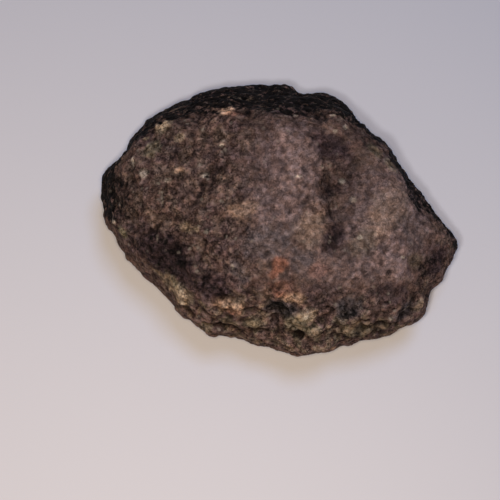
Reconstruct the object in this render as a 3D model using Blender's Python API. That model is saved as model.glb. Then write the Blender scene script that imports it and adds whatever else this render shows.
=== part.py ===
"""A weathered stony meteorite: one solid stone that rests on a small flat spot.

The stone is shaped from a fine sphere. Its rim follows an outline seen from above, its crown
and underside are blunt planes melted into each other, with broad swells and hollows, and
ripples, thumbprints, chips, lumps and pits are then raised on the skin or pressed into it.
The fine skin is thinned to a faceted solid and cut flat where it rests.

Tables and driving sizes are in millimetres. The mesh is in metres, with +Z up, +X along the
stone's length and the origin at the middle of its base.
"""

import math

import bmesh
import bpy
from mathutils import Vector, noise

MM = 0.001

# Fineness of the sphere, of the rim between its points, and of the finished solid
SPHERE_SUBDIVISIONS = 7
RIM_STEPS = 8
TRIANGLES = 9400

# Roundness of the flanks: the higher the power, the blunter the crown and underside end
SHOULDER_POWER = 8.0
KEEL_POWER = 6.0
LEAST_FLANK = 5.0
PLANE_MELT = 2.0

# The rim's notches are full up to the first share of the sphere's height and gone at the second.
# There the rim is its own average over these bearings, in degrees.
NOTCH_BELT = (0.25, 0.65)
RIM_BLUR = range(-12, 13, 3)

# The rim seen from above, (x, y), anticlockwise from the tip at the right
RIM = [
    (50.0, -8.4), (47.0, -3.6), (43.6, 0.4), (41.4, 3.8), (38.7, 7.5), (35.9, 12.5),
    (34.5, 14.1), (32.5, 17.1), (30.6, 20.0), (27.1, 22.6), (24.3, 25.3), (22.5, 26.1),
    (20.1, 30.4), (18.1, 34.5), (16.2, 35.6), (12.7, 36.8), (6.7, 37.9), (5.0, 38.8),
    (3.6, 40.0), (-2.7, 40.1), (-11.2, 39.4), (-18.8, 38.4), (-23.8, 36.8), (-25.3, 35.2),
    (-30.4, 33.2), (-35.0, 31.4), (-38.1, 28.9), (-40.2, 25.4), (-42.5, 22.8), (-43.3, 19.4),
    (-46.4, 16.8), (-49.3, 14.8), (-50.8, 12.5), (-51.0, 9.0), (-50.2, 3.9), (-48.9, -0.4),
    (-47.0, -2.8), (-45.2, -6.5), (-43.2, -9.5), (-40.4, -12.7), (-37.3, -15.4),
    (-33.5, -18.5), (-30.0, -22.4), (-27.8, -25.6), (-23.8, -27.9), (-21.4, -30.6),
    (-19.2, -32.3), (-15.3, -32.3), (-11.7, -32.7), (-7.9, -34.2), (-2.7, -36.0),
    (2.0, -36.8), (6.2, -38.0), (11.0, -37.0), (14.2, -36.1), (16.2, -33.8), (19.7, -34.6),
    (22.5, -33.2), (30.3, -32.3), (34.8, -30.7), (38.4, -29.1), (40.7, -25.3), (42.1, -20.9),
    (44.8, -17.9), (45.6, -14.4), (47.2, -13.0),
]

# Height of the rim above the resting surface, by bearing from +X in degrees
RIM_HEIGHTS = [(0, 19), (45, 21), (90, 19), (135, 18), (180, 14), (225, 12), (270, 12), (315, 15)]

# Planes of the crown: (x, y, z) on the plane, bearing it falls towards, slope in degrees
CROWN_PLANES = [
    (0, 0, 41.0, 260, 4),
    (28, -2, 35.5, 352, 17),
    (-30, 6, 37.0, 185, 14),
    (-45, 8, 32.5, 185, 55),
    (-6, 26, 36.0, 92, 46),
    (-37, 24, 31.0, 135, 42),
    (29.5, 15.5, 34.0, 38, 64),
    (-27, -18, 33.0, 228, 34),
    (2, -25, 33.5, 268, 42),
    (32, -24, 30.5, 300, 36),
    (47, -10, 27.5, 335, 50),
]

# Planes of the underside: (x, y, z) on the plane, bearing it rises towards, slope in degrees
UNDER_PLANES = [
    (1, 0, -3.8, 90, 0),
    (17, -2, -1.4, 352, 21),
    (-18, 2, -1.4, 184, 9),
    (-36, 4, 2.4, 186, 38),
    (0, 12, -1.4, 85, 26),
    (14, 11, -1.4, 42, 29),
    (-14, 11, -1.4, 145, 15),
    (-14, -9, -1.4, 225, 14),
    (4, -12, -1.4, 268, 15),
    (17, -9, -1.4, 310, 21),
]

# Swells (+) and hollows (-) of the crown: (x, y, half length, half width, bearing, height)
CROWN_FORMS = [
    (2, 8, 21, 10, 75, 1.8),
    (-3, -8, 12, 8, 30, 0.9),
    (16.5, 0, 21, 9, 94, -2.8),
    (14, 15, 8, 6, 20, -1.3),
    (31, 0, 14, 9, 60, 1.6),
    (28, -16, 11, 8, 350, 0.9),
    (-26, -12, 15, 9, 315, -3.0),
    (-15, -20, 10, 7, 330, -1.6),
    (-19, 5, 12, 9, 40, -1.3),
    (-34, 12, 8, 7, 60, 1.2),
    (-30, -20, 7, 3.5, 318, 1.6),
    (-2, -29, 8, 3.4, 5, -3.2),
    (-13, -29, 6, 4.5, 350, 1.8),
    (8, -30, 7, 4, 10, 1.6),
    (19, -26, 7, 4.5, 350, -1.8),
    (33, -24, 8, 5, 20, -2.0),
]

# Hollows of the underside: (x, y, half length, half width, bearing, depth)
UNDER_FORMS = [
    (-30, 12, 14, 9, 40, -2.0),
    (30, 8, 13, 9, 120, -2.2),
    (26, -18, 10, 7, 20, -1.4),
    (-28, -14, 11, 8, 130, -1.6),
    (4, 26, 13, 7, 0, -2.0),
]

# Lumps (+) and pits (-) on the flanks and faces: (x, y, z), radius, height
LUMPS = [
    ((-17, -33, 20), 5.5, 1.6),
    ((-9, -34, 17), 4.5, 1.2),
    ((4, -37, 19), 6.0, 1.4),
    ((12, -37, 21), 5.0, 1.3),
    ((4.3, -33, 24), 2.8, -1.9),
    ((-14, -30, 26), 3.4, -1.7),
    ((-5, -34, 22), 3.0, -1.4),
    ((16.5, -34, 20), 3.2, -0.8),
    ((22, -34, 20), 4.2, 1.1),
    ((30, -31, 22), 4.0, 1.0),
    ((6.6, 10, 41), 1.9, -1.1),
    ((30.4, -18, 33), 2.3, -1.3),
    ((-15.5, 26, 34), 3.6, 1.0),
    ((-33, 21, 33), 4.2, 1.2),
    ((-38, 9, 33), 4.0, 1.0),
    ((-26, 10, 37), 3.6, 0.8),
]

# Relief of the skin: broad ripples, thumbprints with sharp ridges between them, small chips
RIPPLE_SIZE = 24.0
RIPPLE_HEIGHT = 1.5
THUMBPRINT_SIZE = 13.0
THUMBPRINT_DEPTH = 1.5
THUMBPRINT_WANDER = 2.5
CHIP_SIZE = 5.5
CHIP_HEIGHT = 0.75
CHIP_HEIGHT_NEAR_FLANK = 1.7
NOISE_SHIFT = Vector((13.7, 4.1, 27.3))
DRIFT_SHIFTS = [Vector((0.0, 0.0, 0.0)), Vector((31.4, 0.0, 0.0)), Vector((0.0, 47.2, 0.0))]

# Middle values of the thumbprint and chip noise, taken off so that the skin keeps its place
THUMBPRINT_MIDDLE = 0.35
CHIP_MIDDLE = 0.6

# The broken near flank: in front of this y, below this height, each over the fade
NEAR_FLANK_Y = -22.0
NEAR_FLANK_TOP = 34.0
NEAR_FLANK_FADE = 8.0

# The relief's strength on the rim and at the base, and how far inland and up it is full.
# The rim belt is a share of the reach at that bearing.
RIM_CALM = 0.5
RIM_BELT = 0.10
BASE_CALM = 0.1
BASE_BELT = 5.0

# The stone's own colours, for its plain material
CRUST_COLOUR = (0.055, 0.040, 0.033, 1.0)
CRUST_ROUGHNESS = 0.72


def clear_scene():
    for obj in list(bpy.data.objects):
        bpy.data.objects.remove(obj, do_unlink=True)


def unit(bearing):
    angle = math.radians(bearing)
    return math.cos(angle), math.sin(angle)


def smooth_step(value):
    value = min(max(value, 0.0), 1.0)
    return value * value * (3.0 - 2.0 * value)


def bell(share):
    """1 at the middle of a form and 0 from its edge on, with no crease at either."""
    return smooth_step(1.0 - share)


def melted(values, sharpness, sign):
    """The least (sign -1) or the greatest (sign 1) of the values, with rounded joins."""
    top = max(sign * value for value in values)
    total = sum(math.exp((sign * value - top) / sharpness) for value in values)
    return sign * (top + sharpness * math.log(total))


def catmull_rom(before, start, end, after, share):
    def blend(a, b, c, d):
        return 0.5 * (
            2.0 * b
            + (c - a) * share
            + (2.0 * a - 5.0 * b + 4.0 * c - d) * share**2
            + (3.0 * b - a - 3.0 * c + d) * share**3
        )

    return tuple(blend(*places) for places in zip(before, start, end, after))


def rim_by_bearing():
    """The rounded rim as (bearing, reach) pairs in rising order of bearing."""
    line = []
    for i, start in enumerate(RIM):
        before, end, after = RIM[i - 1], RIM[(i + 1) % len(RIM)], RIM[(i + 2) % len(RIM)]
        for step in range(RIM_STEPS):
            x, y = catmull_rom(before, start, end, after, step / RIM_STEPS)
            line.append((math.degrees(math.atan2(y, x)) % 360.0, math.hypot(x, y)))
    return sorted(line)


def around(pairs, bearing):
    """The value at a bearing, between the pairs that stand on either side of it."""
    low, high = 0, len(pairs)
    while low < high:
        middle = (low + high) // 2
        if pairs[middle][0] <= bearing:
            low = middle + 1
        else:
            high = middle
    start, end = pairs[low - 1], pairs[low % len(pairs)]
    gap = (end[0] - start[0]) % 360.0 or 360.0
    share = ((bearing - start[0]) % 360.0) / gap
    return start[1] + (end[1] - start[1]) * share


def without_notches(rim):
    """The same rim with its small teeth and notches averaged away."""
    line = []
    for bearing, _ in rim:
        reaches = [around(rim, (bearing + step) % 360.0) for step in RIM_BLUR]
        line.append((bearing, sum(reaches) / len(reaches)))
    return line


def plane_height(plane, x, y, turn):
    """Height of a sloping plane over (x, y). turn is -1 for one that falls, 1 for one that rises."""
    px, py, pz, bearing, slope = plane
    along_x, along_y = unit(bearing)
    run = (x - px) * along_x + (y - py) * along_y
    return pz + turn * run * math.tan(math.radians(slope))


def form_height(forms, x, y):
    total = 0.0
    for fx, fy, half_length, half_width, bearing, height in forms:
        along_x, along_y = unit(bearing)
        along = ((x - fx) * along_x + (y - fy) * along_y) / half_length
        across = ((y - fy) * along_x - (x - fx) * along_y) / half_width
        total += height * bell(math.hypot(along, across))
    return total


def crown_height(x, y):
    planes = [plane_height(plane, x, y, -1) for plane in CROWN_PLANES]
    return melted(planes, PLANE_MELT, -1) + form_height(CROWN_FORMS, x, y)


def under_height(x, y):
    planes = [plane_height(plane, x, y, 1) for plane in UNDER_PLANES]
    return melted(planes, PLANE_MELT, 1) - form_height(UNDER_FORMS, x, y)


def body_point(direction, rim, plain_rim):
    """Where a point of the sphere comes to lie on the stone's plain body.

    The rim's notches show near the rim alone and run out above and below it.
    """
    share = min(math.hypot(direction.x, direction.y), 1.0)
    bearing = math.degrees(math.atan2(direction.y, direction.x)) % 360.0
    start, end = NOTCH_BELT
    notched = 1.0 - smooth_step((abs(direction.z) - start) / (end - start))
    plain_reach = around(plain_rim, bearing)
    reach = (plain_reach + (around(rim, bearing) - plain_reach) * notched) * share
    along_x, along_y = unit(bearing)
    x, y = reach * along_x, reach * along_y
    rim_height = around(RIM_HEIGHTS, bearing)
    if direction.z >= 0.0:
        rise = max(crown_height(x, y) - rim_height, LEAST_FLANK)
        return Vector((x, y, rim_height + rise * math.sqrt(1.0 - share**SHOULDER_POWER)))
    drop = max(rim_height - under_height(x, y), LEAST_FLANK)
    return Vector((x, y, rim_height - drop * math.sqrt(1.0 - share**KEEL_POWER)))


def calm(point, rim):
    """How much of the relief a place takes: less on the rim, and little where the stone rests."""
    bearing = math.degrees(math.atan2(point.y, point.x)) % 360.0
    inland = 1.0 - math.hypot(point.x, point.y) / around(rim, bearing)
    shore = RIM_CALM + (1.0 - RIM_CALM) * smooth_step(inland / RIM_BELT)
    return shore * (BASE_CALM + (1.0 - BASE_CALM) * smooth_step(point.z / BASE_BELT))


def near_flank(point):
    """1 on the broken flank at the front of the stone, 0 on its faces and at its back."""
    forward = smooth_step((NEAR_FLANK_Y - point.y) / NEAR_FLANK_FADE)
    below = smooth_step((NEAR_FLANK_TOP - point.z) / NEAR_FLANK_FADE)
    return forward * below


def relief(point):
    """Height of the skin's relief at a point: ripples, thumbprints and small chips."""
    ripple = noise.fractal(point / RIPPLE_SIZE + NOISE_SHIFT, 1.0, 2.0, 3)
    drift = Vector([noise.noise(point / RIPPLE_SIZE + shift) for shift in DRIFT_SHIFTS])
    wandering = point + THUMBPRINT_WANDER * drift
    nearest = noise.voronoi(wandering / THUMBPRINT_SIZE + NOISE_SHIFT)[0][0]
    thumbprint = min(nearest * nearest, 1.0) - THUMBPRINT_MIDDLE
    chip = noise.hetero_terrain(point / CHIP_SIZE + NOISE_SHIFT, 1.0, 2.0, 2, 0.6) - CHIP_MIDDLE
    chip_height = CHIP_HEIGHT + (CHIP_HEIGHT_NEAR_FLANK - CHIP_HEIGHT) * near_flank(point)
    return RIPPLE_HEIGHT * ripple + THUMBPRINT_DEPTH * thumbprint + chip_height * chip


def lump_height(point):
    total = 0.0
    for place, radius, height in LUMPS:
        total += height * bell((point - Vector(place)).length / radius)
    return total


def outward(shape):
    """The way out of the skin at each vertex, added up face by face so that it never varies."""
    normals = [Vector() for _ in shape.verts]
    for face in shape.faces:
        first, second, third = (vertex.co for vertex in face.verts)
        push = (second - first).cross(third - first)
        for vertex in face.verts:
            normals[vertex.index] += push
    return [normal.normalized() for normal in normals]


def rough_stone():
    """The fine, closed skin of the stone, in millimetres."""
    shape = bmesh.new()
    bmesh.ops.create_icosphere(shape, subdivisions=SPHERE_SUBDIVISIONS, radius=1.0)
    rim = rim_by_bearing()
    plain_rim = without_notches(rim)
    for vertex in shape.verts:
        vertex.co = body_point(vertex.co, rim, plain_rim)
    for height_at in (relief, lump_height):
        for vertex, normal in zip(shape.verts, outward(shape)):
            vertex.co += normal * height_at(vertex.co) * calm(vertex.co, rim)
    bmesh.ops.smooth_vert(
        shape, verts=shape.verts, factor=0.5, use_axis_x=True, use_axis_y=True, use_axis_z=True
    )
    return shape


def thinned(mesh, triangles):
    """A copy of the mesh with about that many triangles, most of them where it bends."""
    carrier = bpy.data.objects.new("fine_skin", mesh)
    bpy.context.scene.collection.objects.link(carrier)
    decimate = carrier.modifiers.new("Thin", "DECIMATE")
    decimate.ratio = triangles / len(mesh.polygons)
    graph = bpy.context.evaluated_depsgraph_get()
    result = bpy.data.meshes.new_from_object(carrier.evaluated_get(graph))
    bpy.data.objects.remove(carrier, do_unlink=True)
    return result


def cut_resting_spot(shape):
    """Cuts the stone off at height 0 and closes the cut with one flat face."""
    everything = shape.verts[:] + shape.edges[:] + shape.faces[:]
    cut = bmesh.ops.bisect_plane(
        shape, geom=everything, plane_co=(0, 0, 0), plane_no=(0, 0, -1), clear_outer=True
    )
    edges = [item for item in cut["geom_cut"] if isinstance(item, bmesh.types.BMEdge)]
    bmesh.ops.contextual_create(shape, geom=edges)
    bmesh.ops.recalc_face_normals(shape, faces=shape.faces)


def centre_on_base(shape):
    xs = [vertex.co.x for vertex in shape.verts]
    ys = [vertex.co.y for vertex in shape.verts]
    middle = Vector(((min(xs) + max(xs)) / 2, (min(ys) + max(ys)) / 2, 0.0))
    bmesh.ops.translate(shape, verts=shape.verts, vec=-middle)


def crust_material():
    material = bpy.data.materials.new("fusion crust")
    material.use_nodes = True
    shader = material.node_tree.nodes["Principled BSDF"]
    shader.inputs["Base Color"].default_value = CRUST_COLOUR
    shader.inputs["Roughness"].default_value = CRUST_ROUGHNESS
    shader.inputs["Metallic"].default_value = 0.0
    material.diffuse_color = CRUST_COLOUR
    return material


def make_meteorite(collection):
    fine = bpy.data.meshes.new("fine_skin")
    shape = rough_stone()
    shape.to_mesh(fine)
    shape.free()

    mesh = thinned(fine, TRIANGLES)
    mesh.name = "meteorite"
    shape = bmesh.new()
    shape.from_mesh(mesh)
    cut_resting_spot(shape)
    centre_on_base(shape)
    bmesh.ops.scale(shape, vec=(MM, MM, MM), verts=shape.verts)
    shape.to_mesh(mesh)
    shape.free()

    mesh.materials.clear()
    mesh.materials.append(crust_material())
    stone = bpy.data.objects.new("meteorite", mesh)
    collection.objects.link(stone)
    return stone


def main():
    clear_scene()
    collection = bpy.data.collections.new("Meteorite")
    bpy.context.scene.collection.children.link(collection)
    make_meteorite(collection)


main()
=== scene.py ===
"""Looks of a weathered stony meteorite.

The faceted stone of the frame is wrapped in a fine skin. Its facets are smoothed away, and then
swells, pebbles, pits and the broken lumps of its near flank are raised on it or pressed into it.
The crust is coloured by place: black fusion crust on the far slope and the steep sides, which also stands in for
their shade, brown weathered faces, tan and olive crumbs, a rust stain, and dark hollows and pits, where the dark is
painted shade with some dirt and crust. Its material adds the grain.

Tables of places are in millimetres, along the frame's axes. A place is moved to the nearest
point of the skin before it is used.
"""

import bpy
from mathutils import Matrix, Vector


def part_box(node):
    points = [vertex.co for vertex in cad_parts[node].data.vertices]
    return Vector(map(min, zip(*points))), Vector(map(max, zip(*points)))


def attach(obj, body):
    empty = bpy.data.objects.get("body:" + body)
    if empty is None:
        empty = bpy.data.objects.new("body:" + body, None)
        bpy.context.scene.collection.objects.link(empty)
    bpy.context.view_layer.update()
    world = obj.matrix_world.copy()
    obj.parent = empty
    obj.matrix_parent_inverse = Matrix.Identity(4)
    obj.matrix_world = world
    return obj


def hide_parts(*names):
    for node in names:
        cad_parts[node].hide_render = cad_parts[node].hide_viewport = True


bl_info = {
    "name": "Weathered Meteorite",
    "version": (1, 0, 0),
    "blender": (4, 5, 0),
    "location": "3D View > Sidebar > Meteorite",
    "description": "Gives a faceted stone its fine skin, weathered crust and a plain studio",
    "category": "Add Mesh",
}

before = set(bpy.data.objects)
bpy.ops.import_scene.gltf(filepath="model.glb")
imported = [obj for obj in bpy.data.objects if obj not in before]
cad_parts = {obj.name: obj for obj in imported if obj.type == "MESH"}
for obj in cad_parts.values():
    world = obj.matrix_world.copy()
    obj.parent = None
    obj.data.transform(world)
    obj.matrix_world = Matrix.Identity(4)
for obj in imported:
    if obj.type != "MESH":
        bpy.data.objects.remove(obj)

import math

import bmesh
import bpy
import numpy as np
from bpy.props import FloatProperty, FloatVectorProperty, IntProperty, PointerProperty
from mathutils import Vector, noise

MM = 0.001
NODE = "meteorite"
BODY = "root"

# The photograph's width and height in pixels, and how many of them one millimetre of the stone
# takes up at the point that the camera looks at
PHOTO_PIXELS = 500
PIXELS_PER_MM = 3.57

# Swells and hollows of the skin: place, half length, half width, bearing, height
FORMS = [
    ((0.6, -29.1, 29.0), 6.5, 3.0, 5, -1.3),
    ((18.7, -29.0, 30.1), 4.5, 3.2, 20, -0.9),
    ((35.0, -28.5, 22.6), 6.0, 3.0, 15, -1.1),
    ((-24.4, -27.3, 20.0), 3.4, 1.7, 320, -1.0),
    ((-14.5, -32.2, 20.6), 4.6, 2.0, 350, -1.5),
    ((5.3, -34.2, 22.2), 3.2, 1.8, 10, -1.4),
    ((-7.7, -28.3, 26.7), 2.6, 1.4, 30, -0.9),
    ((-16.0, -28.6, 27.1), 2.8, 1.2, 350, -0.9),
    ((22.7, -32.2, 25.6), 4.2, 1.1, 355, -0.8),
    ((28.6, -31.7, 23.2), 4.2, 1.1, 4, -0.8),
    ((13.6, 3.0, 38.0), 11.0, 3.4, 92, -0.3),
    ((14.5, -11.5, 37.9), 5.0, 2.6, 58, -0.5),
    ((-30.0, -14.5, 28.8), 8.0, 4.5, 322, -0.5),
    ((-19.0, -32.2, 16.6), 2.6, 1.8, 0, 0.8),
    ((-6.9, -31.9, 23.1), 2.2, 1.8, 0, 0.8),
    ((-26.6, -22.9, 25.1), 4.2, 2.0, 318, 0.7),
    ((-13.6, -27.3, 28.4), 3.6, 1.7, 345, 0.8),
    ((7.3, -31.0, 29.0), 2.4, 1.7, 20, 0.8),
    ((4.4, -32.6, 22.9), 2.4, 1.6, 330, 0.7),
    ((19.1, -33.5, 22.7), 2.2, 1.6, 0, 0.6),
    ((23.9, -32.9, 21.3), 2.0, 1.5, 0, 0.5),
    ((38.7, -26.0, 21.7), 3.4, 2.4, 60, 0.6),
    ((-36.4, 7.3, 34.7), 1.5, 1.2, 0, 0.4),
    ((-27.0, 7.3, 37.2), 1.9, 1.0, 10, 0.35),
    ((-31.4, 20.9, 35.2), 2.4, 1.7, 50, 0.4),
    ((-14.2, 23.7, 37.8), 2.2, 1.6, 15, 0.35),
    ((-42.9, -6.1, 24.6), 1.6, 1.2, 0, 0.4),
    ((-45.3, -2.5, 23.2), 1.7, 1.2, 0, 0.4),
]

# Single pits: place, half length, half width, bearing, depth
PITS = [
    ((6.3, 5.9, 42.4), 1.1, 0.6, 130, 0.35),
    ((29.3, -19.5, 32.6), 1.1, 0.6, 20, 0.35),
    ((27.2, -17.3, 33.8), 0.9, 0.6, 70, 0.35),
    ((29.2, -26.9, 28.1), 1.2, 0.6, 10, 0.45),
    ((-21.0, 1.0, 38.0), 1.3, 0.6, 60, 0.4),
    ((13.8, -4.3, 36.9), 1.7, 0.8, 100, 0.4),
    ((13.2, 2.2, 36.7), 1.5, 0.8, 80, 0.4),
    ((30.5, 9.5, 34.9), 1.0, 0.6, 140, 0.35),
    ((26.2, 14.2, 35.7), 0.9, 0.6, 30, 0.3),
    ((-3.0, -15.5, 38.0), 1.1, 0.5, 0, 0.3),
]

# Patches of each colour on the crust: place, half length, half width, bearing, strength
PATCHES = {
    "mauve": [
        ((1.0, 2.0, 41.5), 20.0, 11.0, 80, 0.85),
        ((29.0, -6.0, 36.5), 20.0, 14.0, 75, 0.85),
        ((14.0, -19.0, 36.5), 12.0, 7.0, 0, 0.7),
    ],
    "purple": [
        # The first four lie on the trough's end, the scoop at the left and the hollow in the middle: painted shade
        # as well as purple-brown stain
        ((13.5, 13.6, 38.8), 6.5, 4.0, 350, 0.75),
        ((-30.7, -14.8, 28.7), 12.0, 7.0, 322, 0.9),
        ((-17.0, -23.5, 31.0), 6.0, 4.2, 325, 0.85),
        ((14.5, -11.5, 37.9), 5.0, 3.2, 58, 0.7),
        ((31.0, -25.5, 29.0), 8.5, 4.2, 350, 0.6),
        ((43.0, -14.8, 25.4), 4.5, 3.5, 60, 0.8),
        ((11.0, -25.5, 33.0), 5.5, 3.5, 0, 0.5),
        ((-15.5, 10.0, 39.0), 6.0, 4.0, 20, 0.35),
        ((-2.5, 9.0, 41.0), 6.5, 5.0, 80, 0.3),
    ],
    "slate": [
        ((-3.5, -13.5, 39.0), 8.0, 5.0, 10, 0.5),
        ((-10.5, -20.0, 35.0), 4.0, 2.2, 300, 0.45),
        # The next three lie in the near flank's hollows: painted shade, not stains
        ((0.6, -29.1, 29.0), 5.5, 3.4, 5, 0.85),
        ((18.7, -29.0, 30.1), 4.5, 3.4, 20, 0.7),
        ((35.0, -28.5, 22.6), 5.5, 3.0, 15, 0.6),
        ((6.0, -17.5, 37.4), 4.0, 3.0, 30, 0.4),
        ((36.0, -7.0, 33.0), 6.0, 4.0, 300, 0.2),
    ],
    "tan": [
        ((-31.4, 20.9, 35.2), 2.9, 2.2, 55, 0.85),
        ((-26.6, 16.9, 37.5), 1.9, 1.3, 20, 0.6),
        ((-36.1, 17.9, 33.0), 2.4, 0.7, 350, 0.7),
        ((-33.0, 16.2, 35.4), 2.0, 0.6, 350, 0.65),
        ((-25.1, -7.5, 34.2), 2.6, 1.7, 350, 0.6),
        ((-22.1, -8.7, 35.8), 1.3, 1.0, 0, 0.7),
        ((-28.0, -22.4, 24.6), 6.0, 3.4, 318, 0.85),
        ((-26.5, -25.3, 22.2), 2.2, 1.8, 0, 0.9),
        ((-31.5, -17.5, 22.5), 3.5, 1.6, 315, 0.55),
        ((7.0, -31.0, 28.5), 3.4, 2.0, 20, 0.7),
        ((19.1, -33.5, 22.7), 3.0, 1.7, 0, 0.6),
        ((26.0, -33.0, 21.5), 4.5, 1.6, 5, 0.45),
        ((30.0, -3.0, 36.5), 8.0, 5.5, 60, 0.12),
        ((8.1, -9.8, 39.6), 5.5, 4.5, 60, 0.15),
        ((38.7, -26.0, 21.7), 2.6, 1.6, 60, 0.4),
        ((-6.0, -31.0, 24.5), 3.0, 2.0, 0, 0.35),
    ],
    "olive": [
        ((-42.9, -6.1, 24.6), 2.4, 1.7, 330, 0.8),
        ((-34.5, 14.0, 35.0), 3.6, 2.6, 0, 0.6),
        ((-28.5, -20.8, 25.5), 2.4, 1.5, 318, 0.6),
        ((5.0, -31.5, 26.0), 4.6, 3.4, 10, 0.65),
        ((-6.9, -31.9, 23.1), 3.0, 2.4, 0, 0.6),
        ((22.5, -12.5, 35.8), 5.0, 3.5, 30, 0.3),
        ((26.2, 14.2, 35.7), 3.0, 2.0, 300, 0.5),
        ((30.5, 9.5, 34.9), 2.6, 1.8, 300, 0.5),
        ((36.8, -15.7, 29.6), 3.5, 2.5, 330, 0.35),
        ((21.0, -33.0, 21.5), 4.0, 2.0, 0, 0.4),
        ((-9.9, 31.2, 28.7), 6.0, 2.4, 0, 0.35),
        ((-28.5, 29.5, 26.5), 4.0, 2.4, 30, 0.35),
    ],
    "peach": [
        ((-14.2, 24.8, 37.0), 2.3, 2.6, 15, 0.9),
        ((-13.6, -27.3, 28.4), 4.2, 2.2, 345, 0.6),
        ((-10.9, -28.4, 28.5), 2.2, 1.4, 330, 0.6),
        ((3.6, -26.6, 32.6), 4.0, 1.5, 355, 0.65),
        ((-9.0, -4.0, 39.4), 5.5, 2.6, 5, 0.35),
        ((27.5, -6.0, 36.8), 6.5, 4.5, 80, 0.12),
        ((-27.0, 7.3, 37.2), 1.8, 0.9, 10, 0.35),
        ((9.0, -6.0, 40.0), 5.0, 3.5, 70, 0.12),
    ],
    "rust": [
        ((0.4, -18.6, 37.2), 2.5, 2.3, 60, 0.8),
        ((-1.0, -20.8, 36.5), 1.8, 1.3, 40, 0.6),
        ((0.5, -24.3, 34.5), 4.6, 2.4, 0, 0.35),
        ((-0.3, -26.0, 33.1), 2.8, 1.3, 0, 0.4),
        ((-12.0, 23.0, 37.6), 2.8, 2.0, 10, 0.35),
        ((-35.7, -16.5, 18.6), 1.4, 1.0, 0, 0.7),
        ((-12.0, -28.8, 27.0), 2.4, 1.2, 340, 0.45),
        ((10.5, -20.0, 36.0), 3.5, 2.5, 20, 0.3),
    ],
    "pale": [
        ((-36.4, 7.3, 34.7), 1.6, 1.3, 0, 0.40),
        ((-29.6, 5.0, 36.1), 1.2, 0.7, 20, 0.45),
        ((-39.5, 11.2, 32.2), 1.5, 0.7, 80, 0.45),
        ((-19.8, 6.1, 37.6), 1.2, 0.7, 20, 0.5),
        ((-31.2, 0.3, 34.7), 1.7, 0.5, 90, 0.45),
        ((-15.5, 13.8, 39.1), 0.7, 0.5, 0, 0.6),
        ((-8.8, 33.7, 26.3), 0.8, 0.5, 0, 0.6),
        ((-5.5, 33.5, 26.0), 0.6, 0.5, 0, 0.5),
        ((-9.9, 31.2, 28.7), 1.0, 0.6, 0, 0.55),
        ((10.3, 29.2, 30.2), 0.8, 0.5, 0, 0.55),
        ((4.4, 22.7, 38.2), 0.7, 0.7, 0, 0.45),
        ((14.6, 23.4, 37.0), 0.8, 0.6, 0, 0.45),
        ((18.2, 19.6, 37.9), 0.8, 0.6, 0, 0.5),
        ((15.1, 18.0, 39.3), 0.7, 0.6, 0, 0.4),
        ((-45.3, -2.5, 23.2), 1.5, 0.9, 330, 0.5),
        ((-19.4, -9.5, 36.7), 0.8, 0.5, 60, 0.6),
        ((-32.8, -9.5, 30.4), 1.3, 0.4, 90, 0.4),
        ((16.9, 4.8, 36.4), 0.9, 0.8, 0, 0.55),
        ((20.2, -0.2, 35.8), 1.0, 0.9, 0, 0.4),
        ((11.5, 7.5, 40.2), 0.7, 0.6, 0, 0.45),
        ((21.3, -10.8, 36.4), 0.9, 0.7, 0, 0.5),
        ((33.5, -15.5, 32.3), 1.7, 0.4, 0, 0.6),
        ((-12.2, -18.7, 34.9), 1.8, 0.5, 95, 0.35),
        ((-26.5, -25.3, 22.2), 0.9, 0.7, 0, 0.6),
        ((4.4, -32.6, 22.9), 1.2, 0.8, 0, 0.4),
        ((7.3, -31.0, 29.0), 0.9, 0.6, 0, 0.5),
        ((28.5, -31.9, 24.4), 0.7, 0.5, 0, 0.5),
        ((30.5, -31.0, 24.8), 0.6, 0.5, 0, 0.5),
        ((5.0, 4.2, 42.4), 1.2, 0.35, 0, 0.5),
    ],
}

# Places where scraps of black crust are left, some of them in the scoop, the trough and the hollows, where the black
# is also painted shade: place, half length, half width, bearing, share
CHARRED_AND_PAINTED_SHADE = [
    ((-44.0, 3.0, 27.0), 9.0, 7.0, 95, 0.44),
    ((-36.0, 22.0, 30.0), 7.0, 2.5, 45, 0.50),
    ((-38.0, -9.0, 26.0), 6.0, 3.0, 315, 0.45),
    # In the scoop at the left: crust and painted shade
    ((-30.0, -14.5, 28.8), 11.0, 6.0, 322, 0.42),
    ((-17.0, -22.0, 32.0), 6.0, 4.0, 325, 0.36),
    ((-24.0, 6.0, 38.0), 9.0, 12.0, 20, 0.30),
    ((-14.0, -4.0, 39.0), 7.0, 6.0, 90, 0.24),
    # In the trough and the hollow in the middle: crust and painted shade
    ((12.8, 2.0, 38.0), 11.0, 2.6, 92, 0.33),
    ((14.5, -11.5, 37.9), 5.0, 2.6, 58, 0.32),
    ((20.0, 3.0, 36.5), 9.0, 3.0, 100, 0.28),
    ((25.0, 17.0, 35.0), 9.0, 3.5, 310, 0.40),
    ((33.0, -25.5, 28.0), 9.0, 3.5, 345, 0.22),
    ((41.0, -16.0, 27.0), 5.0, 3.0, 60, 0.40),
    # In the near flank's hollows: painted shade as well as crust
    ((0.6, -29.1, 29.0), 5.5, 3.0, 5, 0.50),
    ((18.7, -29.0, 30.1), 4.5, 3.2, 20, 0.42),
]

# The colours whose patches also show through the black crust
SPOT_COLOURS = ("tan", "olive", "peach", "rust", "pale")
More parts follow.
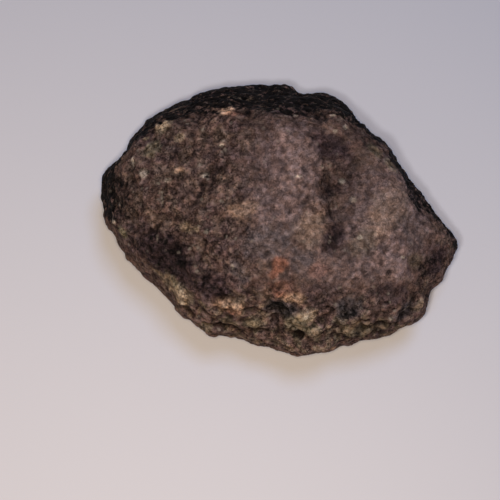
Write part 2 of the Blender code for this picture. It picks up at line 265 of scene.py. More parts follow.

# Lighter (+) and darker (-) faces, in stops, and painted shade in the trough, the scoop, the hollows and the pits:
# place, half length, half width, bearing, stops
TONES_AND_PAINTED_SHADE = [
    ((1.0, 1.0, 41.5), 19.0, 10.0, 80, 0.40),
    ((8.6, -8.5, 39.8), 6.0, 4.5, 60, 0.18),
    ((28.0, -5.0, 36.5), 12.0, 9.0, 70, 0.22),
    ((31.0, -18.5, 32.0), 10.0, 5.5, 350, 0.45),
    ((-27.0, 19.0, 36.0), 10.0, 7.0, 40, -0.42),
    ((-8.0, 16.0, 39.5), 8.0, 6.0, 0, -0.15),
    ((0.4, -18.6, 37.2), 3.0, 2.8, 60, 0.25),
    ((-14.2, 24.8, 37.0), 2.8, 3.0, 15, 0.70),
    ((24.0, -33.0, 21.5), 11.0, 4.5, 5, -1.20),
    ((0.5, -24.3, 34.5), 5.5, 3.5, 0, -0.20),
    ((22.0, 13.0, 36.5), 9.0, 6.0, 320, -0.25),
    # These darker entries, to the last of the near flank's hollows, are painted shade in the trough, the hollow in
    # the middle, the scoop at the left and the near flank's hollows
    ((14.2, 1.0, 37.5), 14.0, 6.0, 92, -0.15),
    ((12.6, 3.0, 38.0), 8.0, 1.8, 92, -0.35),
    ((14.5, -11.5, 37.9), 5.2, 3.2, 58, -0.70),
    ((13.5, 13.6, 38.8), 7.0, 4.0, 350, -0.35),
    ((-30.0, -14.5, 28.8), 13.0, 7.5, 322, -1.0),
    ((-17.0, -23.5, 31.0), 7.0, 4.5, 325, -0.7),
    ((0.6, -29.1, 29.0), 6.5, 3.6, 5, -1.2),
    ((18.7, -29.0, 30.1), 5.0, 3.8, 20, -0.9),
    ((35.0, -28.5, 22.6), 7.0, 3.2, 15, -1.0),
    ((-14.5, -32.2, 20.6), 5.0, 2.4, 350, -1.1),
    ((5.3, -34.2, 22.2), 3.4, 2.0, 10, -1.0),
    ((-24.4, -27.3, 20.0), 3.6, 2.0, 320, -0.8),
    ((22.7, -32.2, 25.6), 4.6, 1.4, 355, -0.8),
    ((28.6, -31.7, 23.2), 4.6, 1.4, 4, -0.8),
    ((31.0, -25.5, 29.0), 9.0, 4.5, 350, -0.3),
    ((43.0, -14.8, 25.4), 5.0, 4.0, 60, -0.5),
    ((-42.0, 2.0, 29.0), 8.0, 6.0, 90, -0.6),
    # Painted shade in the listed pits
    ((6.3, 5.9, 42.4), 1.3, 0.7, 130, -1.1),
    ((29.3, -19.5, 32.6), 1.5, 0.9, 20, -1.1),
    ((27.2, -17.3, 33.8), 0.9, 0.7, 70, -0.8),
    ((29.2, -26.9, 28.1), 1.2, 0.7, 10, -0.9),
    ((-2.0, -7.0, 40.0), 8.5, 5.0, 0, -0.32),
    ((26.0, -27.0, 29.0), 9.0, 4.0, 350, 0.30),
]

# Shifts that keep the layers of noise apart
SWELL_SHIFT = np.array([3.1, 17.9, 8.2])
RUMPLE_SHIFT = np.array([21.7, 2.3, 14.6])
PEBBLE_SHIFT = np.array([9.4, 33.1, 5.8])
PIT_SHIFT = np.array([41.2, 7.7, 19.3])
LUMP_SHIFT = np.array([12.5, 25.4, 37.1])
CHIP_SHIFT = np.array([28.9, 11.2, 3.6])
EDGE_SHIFT = np.array([6.6, 39.8, 22.4])
MOTTLE_SHIFT = np.array([35.3, 15.1, 29.7])
CRUMB_SHIFT = np.array([18.4, 44.7, 10.9])

# How far, as a share of a chip's width, its edges blend into the next chip, and the stretches
# that give each chip its own tilt
CHIP_WEAR = 0.08
CHIP_LOTS = (57.0, 31.0, 83.0)


def unit(bearing):
    angle = math.radians(bearing)
    return math.cos(angle), math.sin(angle)


def smooth_step(value):
    value = np.clip(value, 0.0, 1.0)
    return value * value * (3.0 - 2.0 * value)


def noise_field(points, size, shift, octaves=1):
    """Soft noise about 0 at each point, with lumps of the size given."""
    places = (points / size + shift).tolist()
    return np.array([noise.fractal(place, 1.0, 2.0, octaves) for place in places])


def cell_field(points, size, shift):
    """For each point: the distances to the nearest two seeds, and the nearest seed's own lot."""
    nearest, second, lots = [], [], []
    for place in (points / size + shift).tolist():
        distances, seeds = noise.voronoi(place)
        nearest.append(distances[0])
        second.append(distances[1])
        lots.append(noise.cell(seeds[0] * 57.0))
    return np.array(nearest) * size, np.array(second) * size, np.array(lots) * 0.5 + 0.5


def chip_field(points, size, shift):
    """Heights of broken chips: each is a tilted facet at its own level, worn at its edges."""
    heights = np.empty(len(points))
    for index, place in enumerate((points / size + shift).tolist()):
        distances, seeds = noise.voronoi(place)
        total = 0.0
        height = 0.0
        for distance, seed in zip(distances, seeds):
            weight = math.exp((distances[0] - distance) / CHIP_WEAR)
            tilt = [noise.cell(seed * stretch) for stretch in CHIP_LOTS]
            lean = sum(part * (here - there) for part, here, there in zip(tilt, place, seed))
            total += weight
            height += weight * (0.45 * tilt[0] + lean)
        heights[index] = height / total
    return heights


class Skin:
    """The fine skin of the stone: its points in millimetres and the edges and faces on them."""

    def __init__(self, mesh):
        mesh.calc_loop_triangles()
        self.points = np.empty(len(mesh.vertices) * 3)
        mesh.vertices.foreach_get("co", self.points)
        self.points = self.points.reshape(-1, 3) / MM
        self.edges = np.empty(len(mesh.edges) * 2, dtype=np.int64)
        mesh.edges.foreach_get("vertices", self.edges)
        self.edges = self.edges.reshape(-1, 2)
        self.triangles = np.empty(len(mesh.loop_triangles) * 3, dtype=np.int64)
        mesh.loop_triangles.foreach_get("vertices", self.triangles)
        self.triangles = self.triangles.reshape(-1, 3)

    def gathered(self, ends, values):
        return np.bincount(ends, weights=values, minlength=len(self.points))

    def smoothed(self, values, passes, share=0.5):
        """The values after each has moved some passes towards its neighbours' middle."""
        start, end = self.edges.T
        count = self.gathered(start, None) + self.gathered(end, None)
        values = values.reshape(len(self.points), -1)
        for _ in range(passes):
            middle = np.empty_like(values)
            for axis in range(values.shape[1]):
                column = values[:, axis]
                total = self.gathered(start, column[end]) + self.gathered(end, column[start])
                middle[:, axis] = total / count
            values = values + share * (middle - values)
        return values

    def outward(self):
        """The way out of the skin at each point."""
        first, second, third = (self.points[self.triangles[:, corner]] for corner in range(3))
        push = np.cross(second - first, third - first)
        total = np.zeros_like(self.points)
        for corner in range(3):
            for axis in range(3):
                total[:, axis] += self.gathered(self.triangles[:, corner], push[:, axis])
        length = np.linalg.norm(total, axis=1, keepdims=True)
        return total / np.maximum(length, 1e-9)

    def on_skin(self, place):
        """The skin's point nearest to a place."""
        gaps = np.linalg.norm(self.points - np.array(place), axis=1)
        return self.points[int(np.argmin(gaps))]

    def spread(self, place, half_length, half_width, bearing):
        """Distance from a place as a share of a long patch's size: 0 in its middle, 1 at its edge."""
        offset = self.points - self.on_skin(place)
        along_x, along_y = unit(bearing)
        along = offset[:, 0] * along_x + offset[:, 1] * along_y
        across = offset[:, 1] * along_x - offset[:, 0] * along_y
        return np.sqrt((along / half_length) ** 2 + (across**2 + offset[:, 2] ** 2) / half_width**2)


class StoneSettings(bpy.types.PropertyGroup):
    """Sizes of the fine skin's relief and the colours of the crust."""

    fineness: FloatProperty(
        name="Fineness",
        description="Size of the squares that the fine skin is made of",
        default=0.000485, min=0.0003, precision=6, unit="LENGTH",
    )
    melting: IntProperty(
        name="Melting",
        description="Passes of smoothing that take the facets away",
        default=22, min=0,
    )
    swell_size: FloatProperty(
        name="Swell size", description="Width of the soft swells",
        default=0.008, precision=4, unit="LENGTH",
    )
    swell_height: FloatProperty(
        name="Swell height", description="Height of the soft swells",
        default=0.00045, precision=5, unit="LENGTH",
    )
    rumple_size: FloatProperty(
        name="Rumple size", description="Width of the small rumples between the swells",
        default=0.0033, precision=4, unit="LENGTH",
    )
    rumple_height: FloatProperty(
        name="Rumple height", description="Height of the small rumples",
        default=0.00032, precision=5, unit="LENGTH",
    )
    crumb_size: FloatProperty(
        name="Crumb size", description="Width of the irregular crumbs with creases between them",
        default=0.0026, precision=4, unit="LENGTH",
    )
    crumb_height: FloatProperty(
        name="Crumb height", description="Height of the irregular crumbs",
        default=0.00075, precision=5, unit="LENGTH",
    )
    pebble_size: FloatProperty(
        name="Pebble size", description="Width of the round grains that stand out of the crust",
        default=0.0018, precision=4, unit="LENGTH",
    )
    pebble_height: FloatProperty(
        name="Pebble height", description="Height of the round grains",
        default=0.00014, precision=5, unit="LENGTH",
    )
    pit_spacing: FloatProperty(
        name="Pit spacing", description="Distance between the places that may have a pit",
        default=0.0045, precision=4, unit="LENGTH",
    )
    pit_depth: FloatProperty(
        name="Pit depth", description="Depth of the deepest scattered pits",
        default=0.0006, precision=5, unit="LENGTH",
    )
    lump_size: FloatProperty(
        name="Lump size", description="Width of the lumps on the broken near flank",
        default=0.0046, precision=4, unit="LENGTH",
    )
    lump_height: FloatProperty(
        name="Lump height", description="Height of the lumps on the broken near flank",
        default=0.0009, precision=5, unit="LENGTH",
    )
    grain_size: FloatProperty(
        name="Grain size", description="Width of the coloured grains in the crust",
        default=0.0008, precision=5, unit="LENGTH",
    )
    brown: FloatVectorProperty(
        name="Weathered brown", description="The weathered faces",
        subtype="COLOR", default=(0.079, 0.047, 0.040), min=0.0, max=1.0,
    )
    mauve: FloatVectorProperty(
        name="Worn brown", description="The greyer, worn faces in the middle and at the right",
        subtype="COLOR", default=(0.114, 0.074, 0.069), min=0.0, max=1.0,
    )
    # The black also stands in for the shade of the far slope, the sides facing away and the hollows
    black: FloatVectorProperty(
        name="Fusion crust", description="The black crust on the far slope and the steep sides",
        subtype="COLOR", default=(0.0065, 0.0050, 0.0046), min=0.0, max=1.0,
    )
    # Also laid in the trough, the scoop and a hollow as painted shade
    purple: FloatVectorProperty(
        name="Purple brown", description="The dark hollows and the shaded stains",
        subtype="COLOR", default=(0.050, 0.030, 0.032), min=0.0, max=1.0,
    )
    # Also laid in the near flank's hollows as painted shade
    slate: FloatVectorProperty(
        name="Slate grey", description="The blue-grey stains",
        subtype="COLOR", default=(0.080, 0.065, 0.068), min=0.0, max=1.0,
    )
    tan: FloatVectorProperty(
        name="Tan", description="The crumbly ledge and the tan spots",
        subtype="COLOR", default=(0.265, 0.188, 0.128), min=0.0, max=1.0,
    )
    olive: FloatVectorProperty(
        name="Olive", description="The olive spots and lumps",
        subtype="COLOR", default=(0.108, 0.086, 0.054), min=0.0, max=1.0,
    )
    peach: FloatVectorProperty(
        name="Peach", description="The peach spot and ridges",
        subtype="COLOR", default=(0.34, 0.205, 0.135), min=0.0, max=1.0,
    )
    rust: FloatVectorProperty(
        name="Rust", description="The rust stain",
        subtype="COLOR", default=(0.160, 0.064, 0.042), min=0.0, max=1.0,
    )
    pale: FloatVectorProperty(
        name="Pale grains", description="The pale grains and flecks",
        subtype="COLOR", default=(0.33, 0.27, 0.215), min=0.0, max=1.0,
    )


class StageSettings(bpy.types.PropertyGroup):
    """The floor, the lights and the camera."""

    floor_colour: FloatVectorProperty(
        name="Floor", description="The plain floor",
        subtype="COLOR", default=(0.70, 0.655, 0.68), min=0.0, max=1.0,
    )
    room_colour: FloatVectorProperty(
        name="Room colour", description="The soft light from all around",
        subtype="COLOR", default=(1.0, 0.80, 0.62), min=0.0, max=1.0,
    )
    room_strength: FloatProperty(
        name="Room strength", description="Strength of the soft light from all around",
        default=0.10, min=0.0,
    )
    lamp_colour: FloatVectorProperty(
        name="Lamp colour", description="The small lamp beside the camera",
        subtype="COLOR", default=(0.92, 0.96, 1.0), min=0.0, max=1.0,
    )
    lamp_power: FloatProperty(
        name="Lamp power", description="Power of the small lamp beside the camera, in watts",
        default=0.31, min=0.0,
    )
    front_colour: FloatVectorProperty(
        name="Front light colour", description="The warm light at the camera",
        subtype="COLOR", default=(1.0, 0.815, 0.54), min=0.0, max=1.0,
    )
    front_power: FloatProperty(
        name="Front light power", description="Power of the warm light at the camera, in watts",
        default=1.15, min=0.0,
    )
    window_colour: FloatVectorProperty(
        name="Window colour", description="The broad cool light from the upper right",
        subtype="COLOR", default=(0.40, 0.61, 1.0), min=0.0, max=1.0,
    )
    window_power: FloatProperty(
        name="Window power", description="Power of the broad cool light, in watts",
        default=4.8, min=0.0,
    )
    camera_elevation: FloatProperty(
        name="Camera elevation", description="Angle of the camera above the floor",
        default=math.radians(75.0), unit="ROTATION",
    )
    camera_distance: FloatProperty(
        name="Camera distance", description="Distance from the camera to the stone",
        default=0.40, min=0.05, unit="LENGTH",
    )


def fine_skin(cad, fineness):
    """A closed mesh of small even squares around the faceted stone."""
    shape = bmesh.new()
    shape.from_mesh(cad.data)
    bmesh.ops.remove_doubles(shape, verts=shape.verts, dist=0.001 * MM)
    welded = bpy.data.meshes.new("welded_stone")
    shape.to_mesh(welded)
    shape.free()
    carrier = bpy.data.objects.new("welded_stone", welded)
    bpy.context.scene.collection.objects.link(carrier)
    remesh = carrier.modifiers.new("Fine squares", "REMESH")
    remesh.mode = "VOXEL"
    remesh.voxel_size = fineness
    graph = bpy.context.evaluated_depsgraph_get()
    mesh = bpy.data.meshes.new_from_object(carrier.evaluated_get(graph))
    bpy.data.objects.remove(carrier, do_unlink=True)
    bpy.data.meshes.remove(welded)
    return mesh


def near_flank(points):
    """1 on the broken flank at the front of the stone, 0 on its faces and at its back."""
    start = -21.0 - 5.0 * smooth_step((points[:, 0] - 8.0) / 12.0)
    forward = smooth_step((start - points[:, 1]) / 7.0)
    below = smooth_step((34.0 - points[:, 2]) / 6.0)
    above_rim = 0.3 + 0.7 * smooth_step((points[:, 2] - 13.0) / 6.0)
    return forward * below * above_rim


def worn_faces(points):
    """1 on the smoother faces in the middle and at the right of the crown, 0 elsewhere."""
    right = smooth_step((points[:, 0] + 15.0) / 12.0)
    behind_flank = smooth_step((points[:, 1] + 28.0) / 6.0)
    before_slope = smooth_step((24.0 - points[:, 1]) / 6.0)
    return right * behind_flank * before_slope * smooth_step((points[:, 2] - 24.0) / 6.0)


def liveliness(points):
    """How strong the relief is: full on the faces, and none where the stone rests."""
    return smooth_step((points[:, 2] - 0.15) / 3.5)


def broad_relief(skin, stone):
    """Height of the swells, the listed forms and the near flank's broken lumps."""
    points = skin.points
    flank = near_flank(points)
    wander = noise_field(points, 3.0, EDGE_SHIFT, 2)
    swell_size, swell_height = stone.swell_size / MM, stone.swell_height / MM
    height = swell_height * noise_field(points, swell_size, SWELL_SHIFT, 3)

    broken = flank > 0.0
    chipped = points[broken]
    drift = np.column_stack([noise_field(chipped, 4.0, LUMP_SHIFT + step, 2) for step in (0.0, 9.3, 17.1)])
    for share, size in ((1.0, stone.lump_size / MM), (0.45, 0.42 * stone.lump_size / MM)):
        chips = chip_field(chipped + 0.35 * size * drift, size, LUMP_SHIFT)
        height[broken] += share * flank[broken] * stone.lump_height / MM * chips

    for place, half_length, half_width, bearing, rise in FORMS:
        share = skin.spread(place, half_length, half_width, bearing)
        height += rise * smooth_step(1.15 - share - 0.25 * wander)
    return height


def fine_relief(skin, stone):
    """Height of the rumples, pebbles and pits."""
    points = skin.points
    vigour = 1.0 + 0.5 * noise_field(points, 14.0, MOTTLE_SHIFT, 2) - 0.40 * worn_faces(points)
    rumple = noise_field(points, stone.rumple_size / MM, RUMPLE_SHIFT, 2)
    crumbs = np.abs(noise_field(points, stone.crumb_size / MM, CRUMB_SHIFT, 2)) - 0.2
    crumbs *= 0.55 + 0.45 * smooth_step((points[:, 2] - 22.0) / 10.0)
    height = vigour * (stone.rumple_height / MM * rumple + stone.crumb_height / MM * crumbs)

    drift = np.column_stack([noise_field(points, 1.6, CHIP_SHIFT + step) for step in (0.0, 7.1, 13.9)])
    nearest, second, lots = cell_field(points + 0.5 * drift, stone.pebble_size / MM, PEBBLE_SHIFT)
    size = stone.pebble_size / MM
    dome = 1.0 - np.minimum(nearest / (0.75 * size), 1.0) ** 2
    height += vigour * stone.pebble_height / MM * (dome * (0.25 + 1.25 * lots) - 0.4)

    nearest, second, lots = cell_field(points + 1.3 * drift, stone.pit_spacing / MM, PIT_SHIFT)
    radius = 0.5 + 1.1 * np.clip((lots - 0.55) / 0.45, 0.0, 1.0)
    depth = stone.pit_depth / MM * np.clip((lots - 0.55) / 0.3, 0.0, 1.0)
    height -= (1.0 - 0.6 * worn_faces(points)) * depth * smooth_step(1.3 - nearest / radius + 0.5 * drift[:, 0])

    for place, half_length, half_width, bearing, drop in PITS:
        share = skin.spread(place, half_length, half_width, bearing)
        height -= drop * smooth_step(1.3 - share + 0.5 * drift[:, 1])
    return height


def soft_limit(points, low, high):
    """Bends the points that come near the box's sides back inside it."""
    bend = 0.12
    over = points - (high - bend)
    points = np.where(over > 0.0, high - bend * np.exp(-over / bend), points)
    under = (low + bend) - points
    limited = np.where(under > 0.0, low + bend * np.exp(-under / bend), points)
    limited[:, 2] = np.where(points[:, 2] < bend, np.maximum(points[:, 2], low[2]), limited[:, 2])
    return limited


def crust_colours(skin, normals, stone):
    """The crust's colour at each point before its grain, painted shade included, and where black crust and painted
    shade lie.
    """
    points = skin.points
    edge = noise_field(points, 1.7, EDGE_SHIFT, 2)
    broad = noise_field(points, 9.0, MOTTLE_SHIFT, 3)
    crumbs = noise_field(points, 4.2, CRUMB_SHIFT, 3)
    flank = near_flank(points)
    colour = np.tile(np.array(stone.brown), (len(points), 1))

    def paint(name, share):
        nonlocal colour
        pigment = np.array(getattr(stone, name))
        colour = colour + (pigment - colour) * np.clip(share, 0.0, 1.0)[:, None]

    # Black on the far slope and on the steep sides turned from the camera and the lamps: fusion crust, and painted
    # shade of the sides that face away from the light
    steep = smooth_step((0.78 - normals[:, 2] + 0.10 * edge + 0.12 * crumbs) / 0.30)
    away = smooth_step((normals[:, 1] + 0.42 + 0.15 * crumbs) / 0.25)
    far_slope = smooth_step((points[:, 1] - 18.0 + 1.5 * edge + 2.5 * broad) / 12.0)
    under = smooth_step((-normals[:, 2] - 0.15) / 0.4)
    black = np.maximum(steep * away * (1.0 - 0.55 * under), far_slope * (1.0 - under))
    black = skin.smoothed(black, 40)[:, 0]
    for place, half_length, half_width, bearing, strength in CHARRED_AND_PAINTED_SHADE:
        share = skin.spread(place, half_length, half_width, bearing)
        black = np.maximum(black, strength * smooth_step((1.4 - share + 0.3 * crumbs) / 0.8))

    worn = worn_faces(points)
    paint("purple", 0.5 * smooth_step((broad - 0.05) / 0.4))
    paint("olive", (0.16 - 0.06 * worn + 0.34 * flank) * smooth_step((crumbs - 0.12) / 0.3))
    paint("tan", (0.12 - 0.06 * worn + 0.30 * flank + 0.15 * under) * smooth_step((-crumbs - 0.15) / 0.3))
    for name, patches in PATCHES.items():
        for place, half_length, half_width, bearing, strength in patches:
            share = skin.spread(place, half_length, half_width, bearing)
            cover = strength * smooth_step((1.2 - share + 0.3 * edge) / 0.6)
            paint(name, cover)
            if name in SPOT_COLOURS:
                black *= 1.0 - cover

    stops = (1.0 - 0.4 * worn) * (0.25 * broad + 0.35 * crumbs)
    for place, half_length, half_width, bearing, gain in TONES_AND_PAINTED_SHADE:
        share = skin.spread(place, half_length, half_width, bearing)
        stops += gain * smooth_step(1.25 - share + 0.2 * edge)
    return colour * np.exp2(stops)[:, None], black


def write_attribute(mesh, name, values):
    attribute = mesh.attributes.new(name, "FLOAT", "POINT")
    attribute.data.foreach_set("value", values.astype(np.float32))


def write_colour(mesh, name, colours):
    attribute = mesh.attributes.new(name, "FLOAT_COLOR", "POINT")
    opaque = np.column_stack([colours, np.ones(len(colours))])
    attribute.data.foreach_set("color", opaque.astype(np.float32).ravel())


def bake_map(mesh, body, centre, half_sizes):
    """A UV map with the stone's upper half in one ellipse and its lower half in another."""
    outward = (body - centre) / half_sizes
    level = np.hypot(outward[:, 0], outward[:, 1])
    slope = np.arctan2(level, outward[:, 2])
    bearing = outward[:, :2] / np.maximum(level, 1e-9)[:, None]
    corners = np.empty(len(mesh.loops), dtype=np.int64)
    mesh.loops.foreach_get("vertex_index", corners)
    totals = np.empty(len(mesh.polygons), dtype=np.int64)
    mesh.polygons.foreach_get("loop_total", totals)
    owner = np.repeat(np.arange(len(totals)), totals)
    mean_slope = np.bincount(owner, weights=slope[corners]) / totals
    upper = (mean_slope < math.pi / 2)[owner]

    turn = np.where(upper, slope[corners], math.pi - slope[corners])
    reach = 0.47 * (0.5 * np.sin(np.minimum(turn, math.pi / 2)) + turn / math.pi)
    mirror = np.where(upper, 1.0, -1.0)
    across = 0.5 + mirror * reach * bearing[corners, 0]
    along = np.where(upper, 0.75, 0.25) + 0.5 * reach * bearing[corners, 1]
    layer = mesh.uv_layers.new(name="OFBake")
    layer.data.foreach_set("uv", np.column_stack([across, along]).astype(np.float32).ravel())


class Graph:
    """A material's nodes, added one at a time and joined as they are added."""

    def __init__(self, material):
        material.use_nodes = True
        self.tree = material.node_tree
        self.shader = self.tree.nodes["Principled BSDF"]

    def feed(self, socket, value):
        if isinstance(value, bpy.types.NodeSocket):
            self.tree.links.new(value, socket)
        elif value is not None:
            socket.default_value = value

    def add(self, kind, output=0, inputs=(), **settings):
        node = self.tree.nodes.new(kind)
        for name, value in settings.items():
            setattr(node, name, value)
        for key, value in dict(inputs).items():
            self.feed(node.inputs[key], value)
        return node.outputs[output]

    def maths(self, operation, first, second=None, third=None):
        inputs = {0: first, 1: second, 2: third}
        return self.add("ShaderNodeMath", inputs=inputs, operation=operation)

    def between(self, value, low, high, to_low=0.0, to_high=1.0):
        """The value spread from one range to another, with soft ends."""
        inputs = {0: value, 1: low, 2: high, 3: to_low, 4: to_high}
        return self.add("ShaderNodeMapRange", inputs=inputs, interpolation_type="SMOOTHSTEP")

    def mix(self, share, first, second, blend_type="MIX"):
        inputs = {0: share, 6: first, 7: second}
        return self.add("ShaderNodeMix", 2, inputs, data_type="RGBA", blend_type=blend_type)

    def noise(self, place, size, detail, roughness=0.5):
        inputs = {"Vector": place, "Scale": 1.0 / size, "Detail": detail, "Roughness": roughness}
        return self.add("ShaderNodeTexNoise", inputs=inputs)

    def cells(self, place, size, output, feature="F1"):
        inputs = {"Vector": place, "Scale": 1.0 / size}
        return self.add("ShaderNodeTexVoronoi", output, inputs, feature=feature)


def crust_material(stone):
    """Weathered crust: the colour by place, broken up by grains, flecks and fine bumps, with painted shade in the
    hollows and creases.
    """
    material = bpy.data.materials.new("weathered_crust")
    graph = Graph(material)
    grain = stone.grain_size

    place = graph.add("ShaderNodeTexCoord", "Object")
    waver = graph.add(
        "ShaderNodeTexNoise", "Color", {"Vector": place, "Scale": 1.0 / grain, "Detail": 2.0}
    )
    centred = graph.add("ShaderNodeVectorMath", inputs={0: waver, 1: (0.5, 0.5, 0.5)}, operation="SUBTRACT")
    shifted = graph.add("ShaderNodeVectorMath", inputs={0: centred, "Scale": 1.3 * grain}, operation="SCALE")
    wavering = graph.add("ShaderNodeVectorMath", inputs={0: place, 1: shifted}, operation="ADD")
    paint = graph.add("ShaderNodeAttribute", "Color", attribute_name="crust_colour")
    hollow_shade_and_dirt = graph.add("ShaderNodeAttribute", "Fac", attribute_name="hollow_shade_and_dirt")
    charred_and_painted_shade = graph.add("ShaderNodeAttribute", "Fac", attribute_name="charred_and_painted_shade")
    mottling = graph.add("ShaderNodeAttribute", "Fac", attribute_name="mottling")

    # Black crust and painted shade eat into the brown in streaks and specks where they thin out
    streaks = graph.noise(wavering, 2.2 * grain, 4.0, 0.7)
    torn = graph.maths("MULTIPLY", graph.maths("MULTIPLY_ADD", streaks, 6.0, -2.0), charred_and_painted_shade)
    black_share = graph.between(torn, 0.22, 0.78)
    black = tuple(stone.black) + (1.0,)
    colour = graph.mix(black_share, paint, black)

    # Grain and mottling, and painted shade in the creases that the bump sinks (the dark nicks), in stops
    grit = graph.noise(wavering, 0.75 * grain, 3.0, 0.7)
    crumble = graph.noise(wavering, 4.0 * grain, 5.0, 0.75)
    blotch = graph.noise(place, 11.0 * grain, 2.0)
    coarse = graph.cells(wavering, grain, "Color")
    lightness = graph.add("ShaderNodeSeparateColor", 0, {0: coarse})
    tint = graph.noise(place, 2.6 * grain, 2.0, 0.6)
    creases = []
    for size, width in ((2.4, 0.050), (1.3, 0.060)):
        level = graph.noise(wavering, size * grain, 2.0, 0.55)
        off_crease = graph.maths("ABSOLUTE", graph.maths("SUBTRACT", level, 0.5))
        creases.append(graph.between(off_crease, 0.0, width, 1.0, 0.0))
    layers = (
        (grit, 4.5, 0.5), (lightness, 1.1, 0.5), (crumble, 4.2, 0.5), (blotch, 1.2, 0.5),
        (creases[0], -0.9, 0.3), (creases[1], -0.6, 0.35),
    )
    stops = -sum(gain * middle for _, gain, middle in layers)
    for value, gain, _ in layers:
        stops = graph.maths("MULTIPLY_ADD", value, gain, stops)
    stops = graph.maths("MULTIPLY", stops, mottling)
    stops = graph.add("ShaderNodeMath", inputs={0: stops, 1: 0.9, 2: 0.6}, operation="SMOOTH_MIN")
    # Painted shade in the hollows of the skin, with dirt and crust left in them: darker in the hollows, lighter on
    # the rest
    stops = graph.maths("ADD", stops, graph.maths("MULTIPLY_ADD", hollow_shade_and_dirt, -2.2, 0.88))
    strength = graph.maths("POWER", 2.0, stops)
    scaled = graph.add("ShaderNodeVectorMath", inputs={0: colour, "Scale": strength}, operation="SCALE")
    warm_share = graph.between(tint, 0.36, 0.64)
    warmth = graph.mix(warm_share, (1.045, 1.0, 0.93, 1.0), (0.95, 1.0, 1.03, 1.0))
    colour = graph.mix(1.0, scaled, warmth, "MULTIPLY")

    # Pale grains, few of them bright
    fleck_lot = graph.cells(wavering, 1.9 * grain, "Color")
    fleck_gap = graph.cells(wavering, 1.9 * grain, "Distance")
    fleck_pick = graph.add("ShaderNodeSeparateColor", 2, {0: fleck_lot})
    chosen = graph.between(fleck_pick, 0.84, 1.0)
    round_off = graph.between(fleck_gap, 0.10, 0.48, 1.0, 0.0)
    dullness = graph.maths("MULTIPLY", mottling, 0.42)
    fleck = graph.maths("MULTIPLY", graph.maths("MULTIPLY", chosen, round_off), dullness)
    flecked = graph.maths("MULTIPLY", fleck, graph.between(black_share, 0.0, 1.0, 1.0, 0.45))
    colour = graph.mix(flecked, colour, tuple(stone.pale) + (1.0,))
    graph.feed(graph.shader.inputs["Base Color"], colour)

    rough = graph.between(crumble, 0.3, 0.7, 0.66, 0.88)
    sheen = graph.maths("MULTIPLY", black_share, -0.08)
    graph.feed(graph.shader.inputs["Roughness"], graph.maths("ADD", rough, sheen))
    graph.shader.inputs["Specular IOR Level"].default_value = 0.04

    ridges = graph.noise(wavering, 0.7 * grain, 4.0, 0.65)
    sunk = graph.maths("ADD", graph.maths("MULTIPLY", creases[0], -0.35), graph.maths("MULTIPLY", creases[1], -0.25))
    height = graph.maths("ADD", ridges, sunk)
    lift = graph.maths("MULTIPLY", height, mottling)
    inputs = {"Strength": 0.8, "Distance": 0.00022, "Height": lift}
    graph.feed(graph.shader.inputs["Normal"], graph.add("ShaderNodeBump", inputs=inputs))
    return material


def make_stone(stone):
    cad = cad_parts[NODE]
    mesh = fine_skin(cad, stone.fineness)
    skin = Skin(mesh)
    low, high = (np.array(corner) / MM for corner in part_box(NODE))

    skin.points = skin.smoothed(skin.points, stone.melting)
    body = skin.smoothed(skin.points, 60)
    live = liveliness(skin.points)
    slope = skin.smoothed(skin.outward(), 10)
    colours, black = crust_colours(skin, slope, stone)
    for relief in (broad_relief, fine_relief):
        skin.points = skin.points + skin.outward() * (live * relief(skin, stone))[:, None]
    skin.points = skin.smoothed(skin.points, 1, 0.3)
    skin.points = soft_limit(skin.points, low, high)

    # How far each point lies below its smoothed neighbourhood: the hollows get painted shade, with some dirt and
    # crust left in them
    depth = np.einsum("ij,ij->i", skin.smoothed(skin.points, 14) - skin.points, skin.outward())
    hollow_shade_and_dirt = smooth_step(0.42 + depth / 0.55)
    mesh.vertices.foreach_set("co", (skin.points * MM).astype(np.float32).ravel())
    mesh.update()
    mesh.shade_smooth()
    write_colour(mesh, "crust_colour", colours)
    write_attribute(mesh, "hollow_shade_and_dirt", hollow_shade_and_dirt)
    write_attribute(mesh, "charred_and_painted_shade", black)
    trough = smooth_step(1.4 - skin.spread((13.6, 3.0, 38.0), 14.0, 5.0, 92))
    write_attribute(mesh, "mottling", 1.3 - 0.62 * worn_faces(skin.points) * (1.0 - 0.5 * trough))
    bake_map(mesh, body, (low + high) / 2, (high - low) / 2)

    mesh.name = "meteorite_crust"
    mesh.materials.clear()
    mesh.materials.append(crust_material(stone))
    piece = bpy.data.objects.new("meteorite_crust", mesh)
    bpy.context.scene.collection.objects.link(piece)
    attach(piece, BODY)
    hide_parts(NODE)
    return piece


def floor_material(stage):
    material = bpy.data.materials.new("plain_floor")
    graph = Graph(material)
    graph.shader.inputs["Base Color"].default_value = tuple(stage.floor_colour) + (1.0,)
    graph.shader.inputs["Roughness"].default_value = 0.9
    graph.shader.inputs["Specular IOR Level"].default_value = 0.1
    return material


def make_floor(stage):
    bpy.ops.mesh.primitive_plane_add(size=6.0)
    floor = bpy.context.object
    floor.name = "floor"
    floor.data.materials.append(floor_material(stage))


def aim(obj, place, target):
    """Stands an object at a place and points it at a target."""
    obj.location = place
    obj.rotation_euler = (target - place).to_track_quat("-Z", "Y").to_euler()


def add_light(name, size, power, colour, place, target):
    light = bpy.data.lights.new(name, "AREA")
    light.shape = "DISK"
    light.size = size
    light.energy = power
    light.color = colour
    lamp = bpy.data.objects.new(name, light)
    bpy.context.scene.collection.objects.link(lamp)
    aim(lamp, place, target)


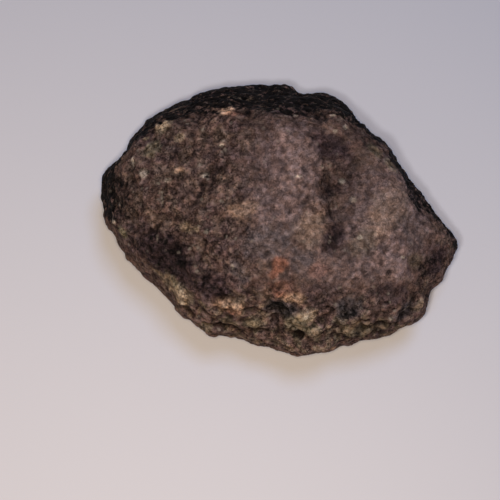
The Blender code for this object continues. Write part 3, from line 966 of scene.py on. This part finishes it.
def make_camera(stage):
    """The camera, its target and the directions to its right, up and back."""
    target = Vector((-7.7, -8.95, 16.0)) * MM
    rise = stage.camera_elevation
    back = Vector((0.0, -math.cos(rise), math.sin(rise)))
    right = Vector((1.0, 0.0, 0.0))
    up = back.cross(right)
    data = bpy.data.cameras.new("photo_camera")
    shown = PHOTO_PIXELS / PIXELS_PER_MM * MM
    data.sensor_width = 36.0
    data.lens = data.sensor_width * stage.camera_distance / shown
    data.clip_start = 0.01
    data.clip_end = 20.0
    camera = bpy.data.objects.new("photo_camera", data)
    bpy.context.scene.collection.objects.link(camera)
    aim(camera, target + back * stage.camera_distance, target)
    bpy.context.scene.camera = camera
    return target, right, up, back


def make_lights(stage, target, right, up, back):
    """The three lights. The front light is aimed past the stone, so the floor dims behind it."""
    reach = stage.camera_distance
    lamp_place = target + back * 0.85 * reach - right * 0.014 - up * 0.016
    add_light("lamp", 0.024, stage.lamp_power, stage.lamp_colour, lamp_place, target)
    front_place = target + back * reach
    front_target = target - right * 0.28 - up * 0.46
    add_light("front_light", 0.05, stage.front_power, stage.front_colour, front_place, front_target)
    window_way = Vector((0.165, 0.175, 0.97)).normalized()
    window_place = target + window_way * 1.2
    add_light("window", 0.42, stage.window_power, stage.window_colour, window_place, target)

    world = bpy.data.worlds.new("soft_room")
    world.use_nodes = True
    background = world.node_tree.nodes["Background"]
    background.inputs["Color"].default_value = tuple(stage.room_colour) + (1.0,)
    background.inputs["Strength"].default_value = stage.room_strength
    bpy.context.scene.world = world


class METEORITE_OT_make_stone(bpy.types.Operator):
    """Wraps the faceted stone in its fine skin and weathered crust"""

    bl_idname = "meteorite.make_stone"
    bl_label = "Make the Stone"
    bl_options = {"REGISTER", "UNDO"}

    def execute(self, context):
        make_stone(context.scene.meteorite_stone)
        return {"FINISHED"}


class METEORITE_OT_make_stage(bpy.types.Operator):
    """Lays the plain floor and sets up the lights and the camera"""

    bl_idname = "meteorite.make_stage"
    bl_label = "Make the Stage"
    bl_options = {"REGISTER", "UNDO"}

    def execute(self, context):
        stage = context.scene.meteorite_stage
        make_floor(stage)
        make_lights(stage, *make_camera(stage))
        context.scene.view_settings.view_transform = "Standard"
        return {"FINISHED"}


class METEORITE_PT_panel(bpy.types.Panel):
    """Sizes, colours and steps of the meteorite"""

    bl_idname = "METEORITE_PT_panel"
    bl_label = "Meteorite"
    bl_space_type = "VIEW_3D"
    bl_region_type = "UI"
    bl_category = "Meteorite"

    def draw(self, context):
        layout = self.layout
        steps = (
            (METEORITE_OT_make_stone, context.scene.meteorite_stone),
            (METEORITE_OT_make_stage, context.scene.meteorite_stage),
        )
        for operator, settings in steps:
            box = layout.box()
            for name in settings.__annotations__:
                box.prop(settings, name)
            box.operator(operator.bl_idname)


CLASSES = (
    StoneSettings,
    StageSettings,
    METEORITE_OT_make_stone,
    METEORITE_OT_make_stage,
    METEORITE_PT_panel,
)


def register():
    for item in CLASSES:
        bpy.utils.register_class(item)
    bpy.types.Scene.meteorite_stone = PointerProperty(type=StoneSettings)
    bpy.types.Scene.meteorite_stage = PointerProperty(type=StageSettings)


def unregister():
    del bpy.types.Scene.meteorite_stage
    del bpy.types.Scene.meteorite_stone
    for item in reversed(CLASSES):
        bpy.utils.unregister_class(item)


def main():
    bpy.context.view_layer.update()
    register()
    bpy.ops.meteorite.make_stage()
    bpy.ops.meteorite.make_stone()


if __name__ == "__main__":
    main()
